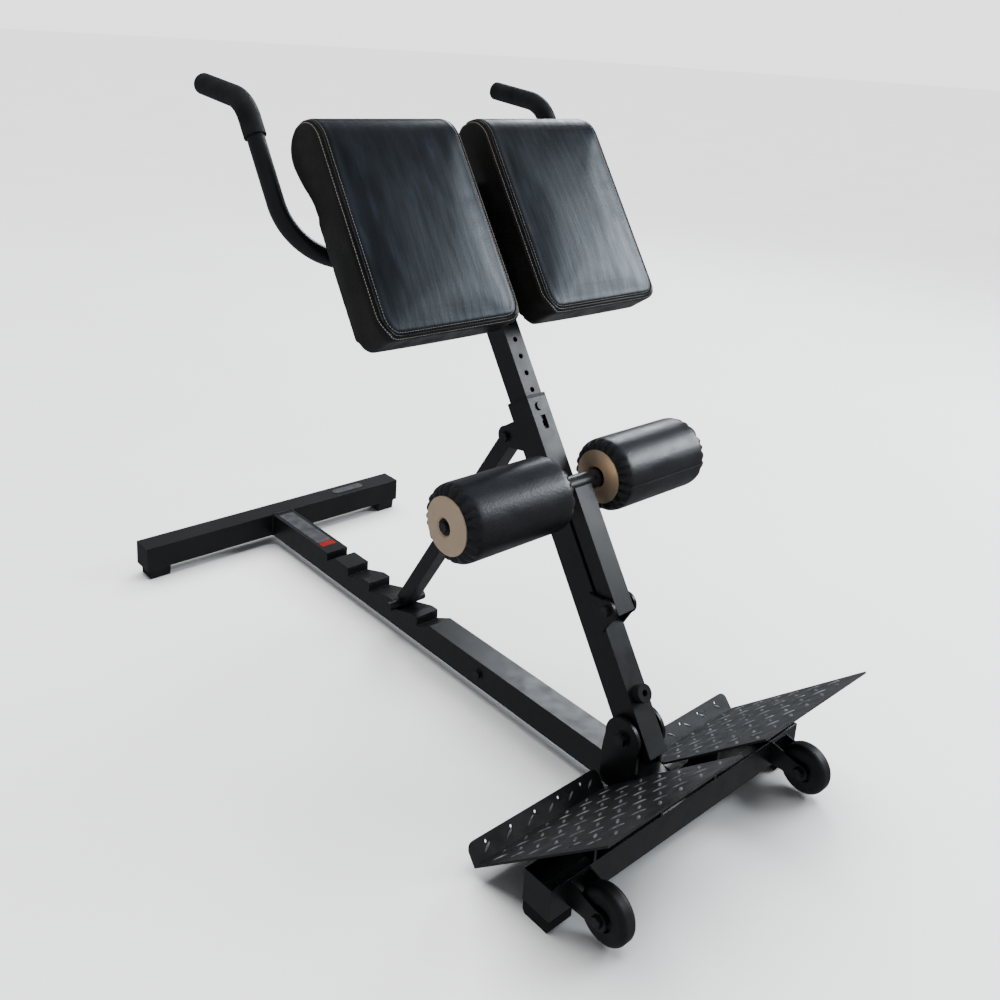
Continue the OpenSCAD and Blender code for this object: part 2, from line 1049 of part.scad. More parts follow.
// across the back, up beside the pad, then back to the grip's end
module handle() {
    r_in = handle_r - thin_wall;
    bend_x = handle_x - handle_bend;
    bend_s = handle_s + handle_bend;
    color(steel_black)
        on_post() {
            translate([0, -handle_n, handle_s])
                rotate([0, 90, 0])
                    tube_straight(handle_r, r_in, bend_x + bend_lap);
            translate([bend_x, -handle_n, bend_s])
                rotate([90, 0, 0])
                    rotate([0, 0, -90])
                        tube_bend(handle_bend, 90, handle_r, r_in);
            handle_top(bend_s - bend_lap, handle_r, r_in);
            handle_end()
                tube_straight(handle_r, r_in, grip_straight - grip_cap);
        }
}

module handle_right() {
    handle();
}

module handle_left() {
    mirror([1, 0, 0])
        handle();
}

module handle_saddle() {
    w = inner_w / 2;
    color(steel_black)
        on_post()
            difference() {
                box([-w, w], [inner_d / 2, -handle_n], [handle_s - 20, handle_s + 20]);
                rod_x(-w - 1, w + 1, -handle_n, handle_s, handle_r);
            }
}

// closed end of a grip, turned about the tube
module grip_end_section(r_in) {
    polygon([[r_in, 0], [grip_r, 0], [grip_r, grip_straight - 3], [grip_r - 3, grip_straight],
             [0, grip_straight], [0, grip_straight - grip_cap], [r_in, grip_straight - grip_cap]]);
}

module grip_right() {
    r_in = handle_r + 0.1;
    color(rubber_black)
        on_post() {
            handle_top(grip_start_s, grip_r, r_in);
            handle_end()
                rotate_extrude()
                    grip_end_section(r_in);
        }
}

module grip_left() {
    mirror([1, 0, 0])
        grip_right();
}

rear_crossbar();
crossbar_end_caps();
rear_feet();
id_plate();
main_beam();
ladder_insert();
beam_bolt();
front_channel();
front_feet();
foot_plate_left();
foot_plate_right();
plate_ribs();
pivot_ear_left();
pivot_ear_right();
pivot_bolt();
pivot_nut();
wheel_bracket_left();
wheel_bracket_right();
wheel_axles();
tyre_left();
tyre_right();
hub_left();
hub_right();
post_sleeve();
pivot_bush();
sleeve_bushing();
strut_ears();
strut_bolt();
ankle_clevis();
ankle_bolt();
arm_bumper();
height_pin();
strut_tube();
strut_bush();
strut_rod();
ankle_arm();
ankle_bush();
roller_bar();
bar_sleeve();
roller_end_bolts();
roller_left_pad();
roller_left_core();
roller_left_discs();
roller_right_pad();
roller_right_core();
roller_right_discs();
inner_tube();
inner_tube_plug();
lower_pad_bracket();
upper_pad_bracket();
pad_board_left();
pad_board_right();
pad_screws();
pad_left();
pad_right();
handle_saddle();
handle_left();
handle_right();
grip_left();
grip_right();
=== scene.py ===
import json
import math

import bmesh
import bpy
import numpy as np
from mathutils import Matrix, Vector
from mathutils.bvhtree import BVHTree
from mathutils.kdtree import KDTree


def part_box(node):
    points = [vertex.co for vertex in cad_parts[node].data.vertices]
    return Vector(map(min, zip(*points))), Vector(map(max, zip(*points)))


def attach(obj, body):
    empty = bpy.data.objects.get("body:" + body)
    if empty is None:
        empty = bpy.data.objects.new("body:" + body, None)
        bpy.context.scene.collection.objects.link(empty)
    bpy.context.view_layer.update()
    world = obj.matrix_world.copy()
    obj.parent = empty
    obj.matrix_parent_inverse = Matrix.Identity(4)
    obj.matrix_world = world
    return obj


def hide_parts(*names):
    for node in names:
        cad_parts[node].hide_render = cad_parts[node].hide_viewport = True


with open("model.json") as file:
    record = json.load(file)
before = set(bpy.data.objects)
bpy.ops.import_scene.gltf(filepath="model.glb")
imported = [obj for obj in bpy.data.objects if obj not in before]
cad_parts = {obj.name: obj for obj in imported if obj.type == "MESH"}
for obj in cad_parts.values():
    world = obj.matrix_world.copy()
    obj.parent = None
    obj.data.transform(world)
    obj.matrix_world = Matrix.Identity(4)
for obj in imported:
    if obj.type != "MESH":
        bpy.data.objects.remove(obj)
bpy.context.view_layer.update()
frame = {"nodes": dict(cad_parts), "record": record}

nodes = frame["nodes"]

# ---------------------------------------------------------------- the post's and the plates' frames
LEAN = math.radians(33.6)
POST = Vector((0.0, -0.4673, 0.1))
ALONG = Vector((0.0, math.sin(LEAN), math.cos(LEAN)))
FRONT = Vector((0.0, -math.cos(LEAN), math.sin(LEAN)))
SIDE = Vector((1, 0, 0))

PLATE = math.radians(41.0)
PLATE_LOW = Vector((0.0, -0.422, 0.020))
PLATE_UP = Vector((0, -math.cos(PLATE), math.sin(PLATE)))
PLATE_OFF = Vector((0, math.sin(PLATE), math.cos(PLATE)))


def on_post(x, n, s):
    """x across, n in front of the post, s along it, in metres."""
    return POST + Vector((x, 0, 0)) + FRONT * n + ALONG * s


def on_plate(x, d, h):
    """x across, d up the foot plate's slope, h off its tread."""
    return PLATE_LOW + Vector((x, 0, 0)) + PLATE_UP * d + PLATE_OFF * h


# ---------------------------------------------------------------- camera
YAW, PITCH, ROLL = (math.radians(a) for a in (42.5, -15.7, 3.6))
look = Vector((math.sin(YAW) * math.cos(PITCH), math.cos(YAW) * math.cos(PITCH),
               math.sin(PITCH)))
flat = Vector((math.cos(YAW), -math.sin(YAW), 0))
over = flat.cross(look)
right = flat * math.cos(ROLL) + over * math.sin(ROLL)
up = over * math.cos(ROLL) - flat * math.sin(ROLL)
cam_data = bpy.data.cameras.new("camera")
cam_data.sensor_width = 36.0
cam_data.lens = 36.0 * 1.0328
cam_data.shift_x = 0.0054
cam_data.shift_y = -0.164
camera = bpy.data.objects.new("camera", cam_data)
bpy.context.scene.collection.objects.link(camera)
aim = Matrix((right, up, -look)).transposed().to_4x4()
camera.matrix_world = Matrix.Translation((-1.1048, -1.2767, 1.113)) @ aim
bpy.context.scene.camera = camera


# ---------------------------------------------------------------- materials
def material(name, color, rough, vary, metal=0.0, spec=0.5, bumps=(), rough_vary=0.0,
             rough_scale=40.0, stretch=(1, 1, 1), tilt=0.0, edge=0.0):
    """A painted, moulded or covered surface.

    vary is (noise scale, colour stops), bumps a list of (scale, detail, strength, height),
    tilt turns the pattern about X, and edge rounds the look of sharp edges by that radius.
    """
    m = bpy.data.materials.new(name)
    m.use_nodes = True
    t = m.node_tree
    p = t.nodes["Principled BSDF"]
    p.inputs["Base Color"].default_value = (*color, 1)
    p.inputs["Roughness"].default_value = rough
    p.inputs["Metallic"].default_value = metal
    p.inputs["Specular IOR Level"].default_value = spec
    coord = t.nodes.new("ShaderNodeTexCoord")
    tilted = t.nodes.new("ShaderNodeMapping")
    tilted.inputs["Rotation"].default_value = (tilt, 0, 0)
    t.links.new(coord.outputs["Object"], tilted.inputs["Vector"])
    place = t.nodes.new("ShaderNodeMapping")
    place.inputs["Scale"].default_value = stretch
    t.links.new(tilted.outputs["Vector"], place.inputs["Vector"])

    def noise(scale, detail=4.0):
        n = t.nodes.new("ShaderNodeTexNoise")
        n.inputs["Scale"].default_value = scale
        n.inputs["Detail"].default_value = detail
        t.links.new(place.outputs["Vector"], n.inputs["Vector"])
        return n.outputs["Fac"]

    def ramp(fac, stops):
        r = t.nodes.new("ShaderNodeValToRGB")
        r.color_ramp.elements[0].position = stops[0][0]
        r.color_ramp.elements[0].color = (*stops[0][1], 1)
        r.color_ramp.elements[1].position = stops[-1][0]
        r.color_ramp.elements[1].color = (*stops[-1][1], 1)
        for at, c in stops[1:-1]:
            e = r.color_ramp.elements.new(at)
            e.color = (*c, 1)
        t.links.new(fac, r.inputs["Fac"])
        return r.outputs["Color"]

    tint_scale, tint_stops = vary
    t.links.new(ramp(noise(tint_scale, 6.0), tint_stops), p.inputs["Base Color"])
    if rough_vary:
        r = t.nodes.new("ShaderNodeMapRange")
        r.inputs["From Min"].default_value = 0.3
        r.inputs["From Max"].default_value = 0.7
        r.inputs["To Min"].default_value = rough - rough_vary
        r.inputs["To Max"].default_value = rough + rough_vary
        t.links.new(noise(rough_scale), r.inputs["Value"])
        t.links.new(r.outputs["Result"], p.inputs["Roughness"])
    last = None
    if edge:
        rounded = t.nodes.new("ShaderNodeBevel")
        rounded.samples = 4
        rounded.inputs["Radius"].default_value = edge
        last = rounded.outputs["Normal"]
    for scale, detail, strength, height in bumps:
        b = t.nodes.new("ShaderNodeBump")
        b.inputs["Strength"].default_value = strength
        b.inputs["Distance"].default_value = height
        t.links.new(noise(scale, detail), b.inputs["Height"])
        if last:
            t.links.new(last, b.inputs["Normal"])
        last = b.outputs["Normal"]
    if last:
        t.links.new(last, p.inputs["Normal"])
    return m


PAINT = material("frame_paint", (0.0045, 0.0047, 0.0052), 0.34, spec=0.40,
                 vary=(9.0, [(0.3, (0.0036, 0.0038, 0.0042)), (0.7, (0.0058, 0.0060, 0.0067))]),
                 bumps=[(900.0, 3.0, 0.20, 0.0003), (60.0, 4.0, 0.10, 0.0006)],
                 rough_vary=0.06, edge=0.0012)
TREAD = material("tread_paint", (0.006, 0.0063, 0.007), 0.36, spec=0.26,
                 vary=(22.0, [(0.3, (0.004, 0.0043, 0.0048)), (0.7, (0.010, 0.0105, 0.0115))]),
                 bumps=[(420.0, 5.0, 0.30, 0.0005), (45.0, 3.0, 0.2, 0.001)], rough_vary=0.1)
STUD = material("tread_stud", (0.04, 0.041, 0.043), 0.30, metal=0.3, spec=0.5,
                vary=(70.0, [(0.34, (0.014, 0.0145, 0.016)), (0.66, (0.13, 0.135, 0.145))]),
                bumps=[(500.0, 4.0, 0.2, 0.0004)], rough_vary=0.1)
ZINC = material("fastener", (0.30, 0.31, 0.33), 0.30, metal=0.95,
                vary=(120.0, [(0.3, (0.22, 0.23, 0.25)), (0.7, (0.42, 0.43, 0.45))]),
                bumps=[(400.0, 4.0, 0.15, 0.0003)], rough_vary=0.08)
BOLT = material("black_bolt", (0.010, 0.010, 0.011), 0.32, metal=0.3, spec=0.4,
                vary=(90.0, [(0.3, (0.007, 0.007, 0.008)), (0.7, (0.02, 0.02, 0.021))]),
                bumps=[(400.0, 4.0, 0.15, 0.0003)], rough_vary=0.08)
PLASTIC = material("plastic", (0.007, 0.007, 0.0075), 0.5, spec=0.3,
                   vary=(15.0, [(0.3, (0.005, 0.005, 0.0055)), (0.7, (0.010, 0.010, 0.011))]),
                   bumps=[(700.0, 2.0, 0.25, 0.0003)], rough_vary=0.05)
RUBBER = material("rubber", (0.006, 0.006, 0.006), 0.72, spec=0.22,
                  vary=(18.0, [(0.3, (0.0045, 0.0045, 0.0045)), (0.7, (0.009, 0.009, 0.009))]),
                  bumps=[(600.0, 4.0, 0.35, 0.0004)], rough_vary=0.07)
FOAM = material("grip_foam", (0.006, 0.006, 0.0065), 0.62, spec=0.25,
                vary=(30.0, [(0.3, (0.0045, 0.0045, 0.005)), (0.7, (0.010, 0.010, 0.011))]),
                bumps=[(380.0, 6.0, 0.6, 0.0008), (90.0, 3.0, 0.2, 0.001)], rough_vary=0.08)
TYRE = material("tyre", (0.006, 0.006, 0.0065), 0.5, spec=0.25,
                vary=(25.0, [(0.3, (0.0045, 0.0045, 0.005)), (0.7, (0.013, 0.013, 0.014))]),
                bumps=[(500.0, 4.0, 0.3, 0.0005)], rough_vary=0.08)
BOARD = material("board", (0.008, 0.007, 0.006), 0.7, spec=0.3,
                 vary=(8.0, [(0.3, (0.005, 0.0045, 0.004)), (0.7, (0.013, 0.011, 0.009))]),
                 bumps=[(120.0, 6.0, 0.4, 0.0008)], rough_vary=0.08, stretch=(0.6, 6, 6))
# the vinyl's colour varies at random, and its palest blue-white streaks, stretched up the post, are
# a painted sheen
VINYL = material("vinyl", (0.0045, 0.0052, 0.0070), 0.39, spec=0.30,
                 vary=(48.0, [(0.35, (0.0036, 0.0042, 0.0056)), (0.58, (0.0056, 0.0068, 0.0092)),
                              (0.78, (0.013, 0.0165, 0.0235))]),
                 bumps=[(70.0, 8.0, 0.07, 0.0006), (300.0, 5.0, 0.28, 0.0004)],
                 rough_vary=0.07, rough_scale=60.0, stretch=(1.0, 1.0, 0.22), tilt=LEAN)
VINYL_SHADER = VINYL.node_tree.nodes["Principled BSDF"]
VINYL_SHADER.inputs["Specular Tint"].default_value = (0.80, 0.91, 1.0, 1)
VINYL_ROLL = material("vinyl_roll", (0.0045, 0.0050, 0.0062), 0.35, spec=0.46,
                      vary=(12.0, [(0.3, (0.0036, 0.0040, 0.0050)), (0.7, (0.007, 0.008, 0.010))]),
                      bumps=[(38.0, 5.0, 0.10, 0.0012), (260.0, 6.0, 0.50, 0.0005)],
                      rough_vary=0.07, rough_scale=30.0)
VINYL_SIDE = material("vinyl_side", (0.0055, 0.0050, 0.0050), 0.38, spec=0.28,
                      vary=(9.0, [(0.3, (0.004, 0.0037, 0.0037)), (0.7, (0.009, 0.008, 0.0072))]),
                      bumps=[(210.0, 6.0, 0.35, 0.0006), (24.0, 4.0, 0.14, 0.0014)],
                      rough_vary=0.10)
THREAD = material("thread", (0.20, 0.18, 0.16), 0.75, spec=0.3,
                  vary=(300.0, [(0.3, (0.14, 0.13, 0.115)), (0.7, (0.26, 0.24, 0.21))]),
                  bumps=[(1500.0, 2.0, 0.4, 0.0002)])
LABEL = material("label_grey", (0.030, 0.031, 0.034), 0.5, spec=0.2,
                 vary=(60.0, [(0.3, (0.022, 0.023, 0.026)), (0.7, (0.042, 0.044, 0.048))]),
                 bumps=[(300.0, 3.0, 0.15, 0.0003)], rough_vary=0.06)
LABEL_RED = material("label_red", (0.13, 0.008, 0.006), 0.5, spec=0.15,
                     vary=(60.0, [(0.3, (0.10, 0.006, 0.004)), (0.7, (0.16, 0.010, 0.007))]),
                     bumps=[(300.0, 3.0, 0.15, 0.0003)], rough_vary=0.06)


# the rollers' axis: in front of the post, and along it
AXIS_N, AXIS_S = 0.045, 0.410


def disc_material():
    """Satin champagne metal with rings turned about the roller's axis."""
    m = material("disc", (0.72, 0.55, 0.39), 0.34, metal=0.85, rough_vary=0.05,
                 rough_scale=90.0,
                 vary=(12.0, [(0.3, (0.66, 0.50, 0.35)), (0.7, (0.78, 0.60, 0.43))]))
    t = m.node_tree
    centre = on_post(0, AXIS_N, AXIS_S)
    coord = t.nodes.new("ShaderNodeTexCoord")
    shift = t.nodes.new("ShaderNodeMapping")
    shift.inputs["Location"].default_value = (0, -centre.y, -centre.z)
    rings = t.nodes.new("ShaderNodeTexWave")
    rings.wave_type = "RINGS"
    rings.rings_direction = "X"
    rings.inputs["Scale"].default_value = 160.0
    rings.inputs["Distortion"].default_value = 1.5
    rings.inputs["Detail"].default_value = 3.0
    bump = t.nodes.new("ShaderNodeBump")
    bump.inputs["Strength"].default_value = 0.12
    bump.inputs["Distance"].default_value = 0.0004
    t.links.new(coord.outputs["Object"], shift.inputs["Vector"])
    t.links.new(shift.outputs["Vector"], rings.inputs["Vector"])
    t.links.new(rings.outputs["Fac"], bump.inputs["Height"])
    t.links.new(bump.outputs["Normal"], t.nodes["Principled BSDF"].inputs["Normal"])
    return m


DISC = disc_material()
BY_SLOT = {"frame_paint": PAINT, "tread_paint": TREAD, "fastener": ZINC, "plastic": PLASTIC,
           "rubber": RUBBER, "tyre": TYRE, "vinyl": VINYL, "disc": DISC, "board": BOARD}
BY_NODE = {"grip_left": FOAM, "grip_right": FOAM, "pivot_bolt": BOLT, "pivot_nut": BOLT,
           "strut_bolt": BOLT, "height_pin": BOLT, "id_plate": LABEL,
           "roller_end_bolts": BOLT, "ankle_bolt": BOLT, "beam_bolt": BOLT,
           "wheel_axles": BOLT}
for part in frame["record"]["subparts"]:
    obj = nodes[part["node"]]
    obj.data.materials.clear()
    obj.data.materials.append(BY_NODE.get(part["node"], BY_SLOT[part["material_slot"]]))


# ---------------------------------------------------------------- mesh helpers
def new_object(name, verts, faces, mat, smooth=True):
    mesh = bpy.data.meshes.new(name)
    mesh.from_pydata([tuple(v) for v in verts], [], faces)
    mesh.update()
    obj = bpy.data.objects.new(name, mesh)
    bpy.context.scene.collection.objects.link(obj)
    mesh.materials.append(mat)
    for p in mesh.polygons:
        p.use_smooth = smooth
    return obj


def add_modifier(obj, kind, **values):
    mod = obj.modifiers.new(kind.lower(), kind)
    for k, v in values.items():
        setattr(mod, k, v)
    return mod


def apply_all(obj):
    """Bakes the object's modifiers into its mesh and keeps its materials."""
    graph = bpy.context.evaluated_depsgraph_get()
    mesh = bpy.data.meshes.new_from_object(obj.evaluated_get(graph))
    mats = list(obj.data.materials)
    obj.modifiers.clear()
    obj.data = mesh
    mesh.materials.clear()
    for m in mats:
        mesh.materials.append(m)


def sweep(points, radii, sides=8):
    """Vertices and faces of a round tube through the points, with one radius or one for each."""
    verts, faces = [], []
    count = len(points)
    for i, p in enumerate(points):
        a = points[max(i - 1, 0)]
        b = points[min(i + 1, count - 1)]
        d = (b - a).normalized()
        side = d.cross(Vector((0.31, 0.17, 0.93)))
        if side.length < 0.1:
            side = d.cross(Vector((1, 0, 0)))
        side.normalize()
        other = d.cross(side)
        r = radii[i] if hasattr(radii, "__len__") else radii
        for k in range(sides):
            t = 2 * math.pi * k / sides
            verts.append(p + side * (math.cos(t) * r) + other * (math.sin(t) * r))
    for i in range(count - 1):
        for k in range(sides):
            m = (k + 1) % sides
            faces.append((i * sides + k, i * sides + m, (i + 1) * sides + m, (i + 1) * sides + k))
    faces.append(tuple(range(sides))[::-1])
    faces.append(tuple((count - 1) * sides + k for k in range(sides)))
    return verts, faces


def capsules(name, segments, radius, mat):
    """Many short rounded stitches in one mesh; segments is a list of (start, end)."""
    verts, faces = [], []
    for a, b in segments:
        d = b - a
        pts = [a, a + d * 0.12, a + d * 0.5, a + d * 0.88, b]
        v, f = sweep(pts, [radius * 0.45, radius * 0.85, radius, radius * 0.85, radius * 0.45], 6)
        base = len(verts)
        verts += v
        faces += [tuple(base + i for i in face) for face in f]
    return new_object(name, verts, faces, mat)


def resample(points, step):
    """Points a fixed distance apart along a path."""
    out, carry = [points[0].copy()], 0.0
    for a, b in zip(points, points[1:]):
        d = (b - a).length
        at = step - carry
        while at <= d:
            out.append(a.lerp(b, at / d))
            at += step
        carry = (carry + d) % step
    return out


# ---------------------------------------------------------------- thigh pads
PAD_IN, PAD_OUT = 0.026, 0.294          # x of the sides by the post and outside
PAD_LOW, PAD_FACE, PAD_BACK = 0.669, 0.091, 0.022
PAD_NECK = 0.892                        # where the flat back ends, under the roll
ROLL_N, ROLL_S, ROLL_R = 0.042, 0.988, 0.049
LOW_R = 0.014                           # lower front edge
HEEL_R = 0.013                          # lower back edge
END_R = 0.013                           # edges along both sides
CORNER_R = 0.028                        # bottom corners, seen from the front
CORNER_FADE = 0.09                      # how far up the corner rounding is spread
SLACK = 0.001                           # room for the cloth to swell into
VOXEL, PRESSURE = 0.0045, 4.0
FRAMES = 20
PAD_SWELL, ROLLER_SWELL = 0.009, 0.0015


def arc(cn, cs, r, a0, a1, steps):
    """Points (n, s) round a centre; angle 0 faces the front and 90 points up the post."""
    out = []
    for i in range(steps + 1):
        a = math.radians(a0 + (a1 - a0) * i / steps)
        out.append((cn + r * math.cos(a), cs + r * math.sin(a)))
    return out


def pad_outline():
    """Closed side profile, from the lower front corner up over the roll and down the back."""
    low = arc(PAD_FACE - LOW_R, PAD_LOW + LOW_R, LOW_R, -90, 0, 8)
    front = [(PAD_FACE, PAD_LOW + LOW_R + (ROLL_S - PAD_LOW - LOW_R) * i / 40)
             for i in range(1, 40)]
    roll = arc(ROLL_N, ROLL_S, ROLL_R, 0, 200, 40)
    neck = [(-0.001, 0.960), (0.006, 0.942), (0.014, 0.926), (0.020, 0.910), (PAD_BACK, PAD_NECK)]
    back = [(PAD_BACK, PAD_NECK - (PAD_NECK - PAD_LOW - HEEL_R) * i / 24) for i in range(1, 24)]
    heel = arc(PAD_BACK + HEEL_R, PAD_LOW + HEEL_R, HEEL_R, 180, 270, 6)
    under = PAD_FACE - LOW_R - PAD_BACK - HEEL_R
    bottom = [(PAD_BACK + HEEL_R + under * i / 6, PAD_LOW) for i in range(1, 6)]
    return low + front + roll + neck + back + heel + bottom


OUTLINE = pad_outline()
ARC_LENGTH = LOW_R * math.pi / 2


def outline_normals(points):
    """Outward normals of a closed profile."""
    out = []
    for i, p in enumerate(points):
        a, b = points[i - 1], points[(i + 1) % len(points)]
        d = Vector((b[0] - a[0], b[1] - a[1])).normalized()
        out.append((d.y, -d.x))
    return out


NORMALS = outline_normals(OUTLINE)
LENGTHS = [0.0]
for a, b in zip(OUTLINE, OUTLINE[1:]):
    LENGTHS.append(LENGTHS[-1] + math.hypot(b[0] - a[0], b[1] - a[1]))


def at_length(length):
    """Outline point and outward normal that far up from the profile's lower front corner."""
    for i in range(len(LENGTHS) - 1):
        if LENGTHS[i + 1] >= length:
            f = (length - LENGTHS[i]) / (LENGTHS[i + 1] - LENGTHS[i])
            p = [OUTLINE[i][k] * (1 - f) + OUTLINE[i + 1][k] * f for k in (0, 1)]
            n = [NORMALS[i][k] * (1 - f) + NORMALS[i + 1][k] * f for k in (0, 1)]
            return p, n
    return OUTLINE[-1], NORMALS[-1]


def round_corners(e, s):
    """Lifts the pad's bottom edge near its sides, so that it has round corners from the front."""
    if e >= CORNER_R or s > PAD_LOW + CORNER_FADE:
        return s
    lift = CORNER_R - math.sqrt(CORNER_R ** 2 - (CORNER_R - max(e, 0.0)) ** 2)
    return s + lift * (PAD_LOW + CORNER_FADE - s) / CORNER_FADE


def pad_point(e, side, point, normal, inset):
    """e is the distance in from a side of the pad; side is -1 by the post and 1 outside."""
    n = point[0] - normal[0] * inset
    s = round_corners(e, point[1] - normal[1] * inset)
    x = PAD_OUT - e if side > 0 else PAD_IN + e
    return on_post(x, n, s)


def pad_shell():
    """The closed right-hand pad before it is filled, a little slack inside its final size."""
    steps = [END_R * (1 - math.cos(math.pi / 2 * i / 6)) for i in range(7)]
    stations = [(e, -1) for e in steps] + [(e, 1) for e in reversed(steps)]
    verts, faces = [], []
    count = len(OUTLINE)
    for e, side in stations:
        inset = END_R - math.sqrt(max(END_R ** 2 - (END_R - e) ** 2, 0.0))
        for p, nrm in zip(OUTLINE, NORMALS):
            # the flat back stays square, and the rounding eases in over the roll
            rise = min(max((p[1] - 0.875) / 0.115, 0.0), 1.0)
            soft = min(max((p[0] - PAD_BACK) / 0.02, rise * rise * (3 - 2 * rise), 0.0), 1.0)
            verts.append(pad_point(e, side, p, nrm, (inset + SLACK) * soft))
    for j in range(len(stations) - 1):
        for i in range(count):
            k = (i + 1) % count
            faces.append((j * count + i, j * count + k, (j + 1) * count + k, (j + 1) * count + i))
    faces.append(tuple(range(count)))
    faces.append(tuple((len(stations) - 1) * count + i for i in range(count))[::-1])
    return new_object("thigh_pad_right", verts, faces, VINYL)


def fix_normals(obj):
    bm = bmesh.new()
    bm.from_mesh(obj.data)
    bmesh.ops.recalc_face_normals(bm, faces=bm.faces)
    bm.to_mesh(obj.data)
    bm.free()


def coords(obj):
    v = np.empty(len(obj.data.vertices) * 3)
    obj.data.vertices.foreach_get("co", v)
    return v.reshape(-1, 3)


def set_coords(obj, v):
    obj.data.vertices.foreach_set("co", v.reshape(-1))
    obj.data.update()


def evened(obj, values, rounds):
    """Averages a value per vertex with its neighbours', so that a swell has no crumples."""
    edges = np.empty(len(obj.data.edges) * 2, dtype=np.int64)
    obj.data.edges.foreach_get("vertices", edges)
    a, b = edges.reshape(-1, 2).T
    degree = np.bincount(a, minlength=len(values)) + np.bincount(b, minlength=len(values))
    for _ in range(rounds):
        total = np.bincount(a, values[b], len(values)) + np.bincount(b, values[a], len(values))
        values = 0.5 * values + 0.5 * total / np.maximum(degree, 1)
    return values


def fill(obj, cap, held, tidy=None):
    """Remeshes, then inflates the cover as cloth by up to cap; held(points) marks what stays."""
    add_modifier(obj, "REMESH", mode="VOXEL", voxel_size=VOXEL)
    add_modifier(obj, "SMOOTH", factor=0.5, iterations=2)
    apply_all(obj)
    if tidy:
        set_coords(obj, tidy(coords(obj)))
    before = coords(obj)
    facing = np.array([v.normal[:] for v in obj.data.vertices])
    pins = obj.vertex_groups.new(name="held")
    pins.add([int(i) for i in np.nonzero(held(before))[0]], 1.0, "REPLACE")
    cloth = add_modifier(obj, "CLOTH").settings
    cloth.quality = 5
    cloth.mass = 0.3
    cloth.tension_stiffness = 15
    cloth.compression_stiffness = 15
    cloth.shear_stiffness = 5
    cloth.bending_stiffness = 0.5
    cloth.use_pressure = True
    cloth.uniform_pressure_force = PRESSURE
    cloth.effector_weights.gravity = 0
    cloth.vertex_group_mass = "held"
    scene = bpy.context.scene
    scene.frame_start, scene.frame_end = 1, FRAMES
    obj.modifiers[-1].point_cache.frame_start = 1
    obj.modifiers[-1].point_cache.frame_end = FRAMES
    for number in range(1, FRAMES + 1):
        scene.frame_set(number)
    apply_all(obj)
    scene.frame_set(1)
    # only the outward part is kept, scaled under the cap, so that no crumple stays
    outward = np.sum((coords(obj) - before) * facing, axis=1)
    most = max(float(np.percentile(outward, 98)), 1e-6)
    swell = evened(obj, np.clip(outward * min(cap / most, 1.0), 0.0, cap), 14)
    set_coords(obj, before + facing * swell[:, None])
    add_modifier(obj, "SUBSURF", levels=1, render_levels=1)
    apply_all(obj)
    for p in obj.data.polygons:
        p.use_smooth = True


def post_axes(points):
    """x, n, s of points in the post's frame."""
    rel = points - np.array(POST)
    return np.stack([points[:, 0], rel @ np.array(FRONT), rel @ np.array(ALONG)], axis=1)


def from_post_axes(x, n, s):
    """Points from their x, n, s in the post's frame."""
    return (np.array(POST) + x[:, None] * np.array(SIDE) + n[:, None] * np.array(FRONT)
            + s[:, None] * np.array(ALONG))


def pad_held(points):
    local = post_axes(points)
    return (local[:, 1] < PAD_BACK + 0.004) & (local[:, 2] < 0.90)


def straighten(points):
    """Squares the cover's back corners, where it is pulled tight over the board."""
    x, n, s = post_axes(points).T
    reach = 0.004
    low = s < 0.885
    wall = np.where(x > (PAD_IN + PAD_OUT) / 2, PAD_OUT, PAD_IN)
    side = low & (s > PAD_LOW + CORNER_R) & (n < PAD_BACK + 0.010) & (np.abs(x - wall) < reach)
    back = low & (s > PAD_LOW + CORNER_R) & (np.abs(n - PAD_BACK) < reach)
    x = np.where(side, wall, x)
    n = np.where(back, PAD_BACK, n)
    return from_post_axes(x, n, s)


pad = pad_shell()
fix_normals(pad)
fill(pad, PAD_SWELL, pad_held, straighten)

SEAM_PHI, FRONT_ROW_PHI, SIDE_ROW_PHI = 0.52, 0.14, 0.95
SEAM_R = 0.030                          # the seam's turns at the pad's bottom corners
SEAM_TOP = 0.405                        # its ends, measured up the front and over the roll


def seam_path(phi):
    """Round the front panel at an angle phi over the pad's edge; phi 0 is flat on the front."""
    flat_half = (PAD_OUT - PAD_IN) / 2 - END_R
    half = flat_half + END_R * phi
    low = ARC_LENGTH - LOW_R * phi
    radius = SEAM_R + END_R * (phi - SEAM_PHI)
    path = [(half, SEAM_TOP - (SEAM_TOP - low - radius) * i / 60) for i in range(61)]
    for i in range(1, 13):
        a = math.pi / 2 * i / 12
        path.append((half - radius + radius * math.cos(a), low + radius - radius * math.sin(a)))
    for i in range(1, 41):
        path.append(((half - radius) * (1 - 2 * i / 40), low))
    other_side = [(-a, length) for a, length in reversed(path[:73])]
    return path + other_side[1:]


def lay(path, tree, lift):
    """Puts a path of (across, length) on the filled pad's surface."""
    flat_half = (PAD_OUT - PAD_IN) / 2 - END_R
    out = []
    for across, length in path:
        side = 1 if across > 0 else -1
        angle = max(abs(across) - flat_half, 0.0) / END_R
        e = (END_R - END_R * math.sin(angle)) if angle else END_R + flat_half - abs(across)
        inset = END_R - END_R * math.cos(angle)
        p, nrm = at_length(max(length, 0.0))
        target = pad_point(e, side, p, nrm, inset)
        spot, normal, _, _ = tree.find_nearest(target)
        out.append(spot + normal * lift)
    return out


def tree_of(obj):
    return BVHTree.FromPolygons([v.co.copy() for v in obj.data.vertices],
                                [tuple(p.vertices) for p in obj.data.polygons])


